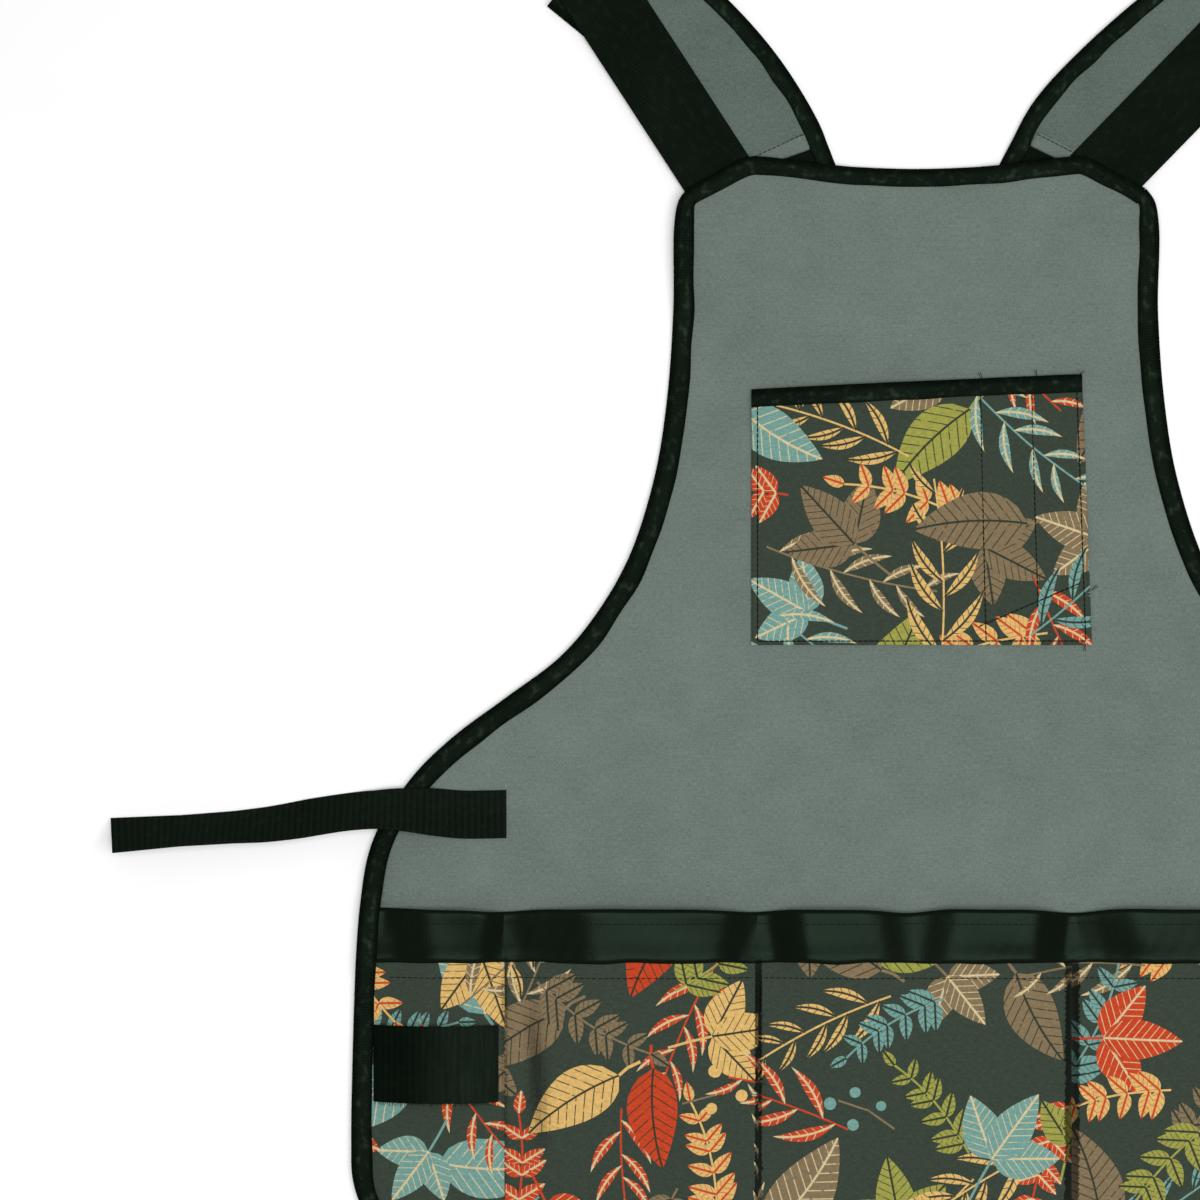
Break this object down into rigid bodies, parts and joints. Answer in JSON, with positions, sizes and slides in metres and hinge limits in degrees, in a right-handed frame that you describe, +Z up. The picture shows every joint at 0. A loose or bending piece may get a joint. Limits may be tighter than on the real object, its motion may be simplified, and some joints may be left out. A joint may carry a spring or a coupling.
{
  "type": "bib work apron",
  "caption": "Short bib apron laid flat: grey canvas with dark folded binding, leaf-print pockets, a tool loop, waist straps and padded webbing shoulder straps.",
  "frame": {"origin": "on the flat underside of the canvas, on its centre line at the height of the waist straps", "axes": "+Z up off the surface the apron lies on, +Y towards the shoulder straps, +X to the right as seen from above"},
  "size_m": [0.8352, 0.7058, 0.0209],
  "materials": {
    "canvas": "plain-woven matte canvas",
    "binding": "ribbed matte tape",
    "webbing": "ribbed matte webbing",
    "print_cloth": "leaf print on matte cloth",
    "band": "smooth tape with a soft sheen"
  },
  "bodies": {
    "root": {"body_panel": "canvas", "binding_top": "binding", "binding_armhole_left": "binding", "binding_armhole_right": "binding", "binding_skirt": "binding", "chest_pocket": "print_cloth", "chest_pocket_binding": "binding", "pocket_panel": "print_cloth", "pocket_band": "band", "tool_loop": "webbing", "waist_strap_left": "webbing", "waist_strap_right": "webbing", "strap_left": "webbing", "strap_right": "webbing", "shoulder_pad_left": "canvas", "shoulder_pad_right": "canvas", "pad_binding_inner_left": "binding", "pad_binding_outer_left": "binding", "pad_binding_inner_right": "binding", "pad_binding_outer_right": "binding"}
  },
  "joints": []
}
